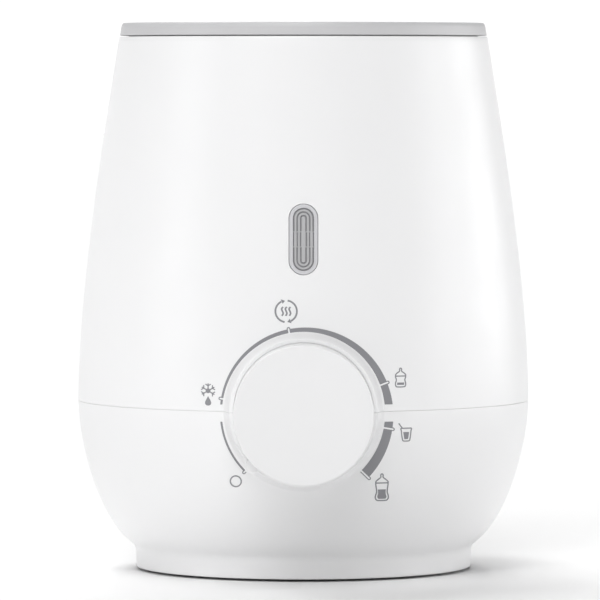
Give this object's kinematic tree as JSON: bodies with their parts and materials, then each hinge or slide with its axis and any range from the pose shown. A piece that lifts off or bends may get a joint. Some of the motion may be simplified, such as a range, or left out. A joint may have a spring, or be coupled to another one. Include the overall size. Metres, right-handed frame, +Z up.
{
  "type": "bottle warmer",
  "caption": "Electric baby bottle warmer: rounded two-part housing round a ribbed water tub with a heated floor, set by a front dial with a status window.",
  "frame": {"origin": "under the middle of the bounding box, on the surface that the feet stand on", "axes": "+Z up, dial and window towards -Y, +X to the right as seen from the front; the body's own axis is 9 mm towards +Y"},
  "size_m": [0.14, 0.158, 0.1695],
  "materials": {
    "body_white": "semi-gloss moulded white",
    "knob_white": "satin moulded white",
    "ring_grey": "satin light grey",
    "tub_grey": "fine satin grey",
    "base_grey": "fine texture",
    "bezel_grey": "satin",
    "lens_white": "grooved, milky",
    "foot_rubber": "matte",
    "seal_silicone": "matte",
    "plate_steel": "brushed",
    "spreader_aluminium": "as cast",
    "element_sheath": "heat darkened",
    "zinc_steel": "zinc plated",
    "terminal_brass": "bright",
    "component_black": "moulded",
    "capacitor_yellow": "moulded",
    "terminal_green": "moulded",
    "board_green": "solder mask",
    "bracket_black": "moulded",
    "pot_case": "pressed case",
    "led_amber": "moulded",
    "guide_clear": "clear acrylic",
    "wire_brown": "insulation",
    "wire_blue": "insulation",
    "wire_white": "silicone insulation",
    "wire_grey": "insulation"
  },
  "bodies": {
    "housing": {"base_plate": "base_grey", "base_screw_1": "zinc_steel", "base_screw_2": "zinc_steel", "base_screw_3": "zinc_steel", "base_screw_4": "zinc_steel", "bracket_screw_1": "zinc_steel", "bracket_screw_2": "zinc_steel", "clamp_ring": "zinc_steel", "clamp_screw_1": "zinc_steel", "clamp_screw_2": "zinc_steel", "clamp_screw_3": "zinc_steel", "clamp_screw_4": "zinc_steel", "cord_gland": "base_grey", "dial_board": "board_green", "dial_bracket": "bracket_black", "dial_lead": "wire_grey", "element_terminal_1": "terminal_brass", "element_terminal_2": "terminal_brass", "film_capacitor": "capacitor_yellow", "foot_1": "foot_rubber", "foot_2": "foot_rubber", "foot_3": "foot_rubber", "foot_4": "foot_rubber", "heat_spreader": "spreader_aluminium", "heater_lead_1": "wire_white", "heater_lead_2": "wire_white", "heater_plate": "plate_steel", "heating_element": "element_sheath", "led_1": "led_amber", "led_2": "led_amber", "led_3": "led_amber", "led_board": "board_green", "led_holder": "bracket_black", "led_lead": "wire_grey", "light_guide": "guide_clear", "lower_shell": "body_white", "mains_lead_1": "wire_brown", "mains_lead_2": "wire_blue", "ntc_sensor": "component_black", "plate_seal": "seal_silicone", "pot_nut": "zinc_steel", "potentiometer": "pot_case", "power_board": "board_green", "relay": "component_black", "sensor_lead": "wire_grey", "shell_screw_1": "zinc_steel", "shell_screw_2": "zinc_steel", "shell_screw_3": "zinc_steel", "terminal_block": "terminal_green", "thermal_cutout": "component_black", "thermal_fuse": "terminal_brass", "top_ring": "ring_grey", "upper_shell": "body_white", "water_tub": "tub_grey", "window_bezel": "bezel_grey", "window_lens": "lens_white"},
    "dial": {"dial_knob": "knob_white", "dial_shaft": "zinc_steel", "knob_clip": "zinc_steel"}
  },
  "joints": [
    {"name": "dial_turn", "type": "hinge", "parent": "housing", "child": "dial", "pos_m": [0, -0.055, 0.0525], "axis": [0, 1, 0], "range_deg": [0, 270]}
  ]
}
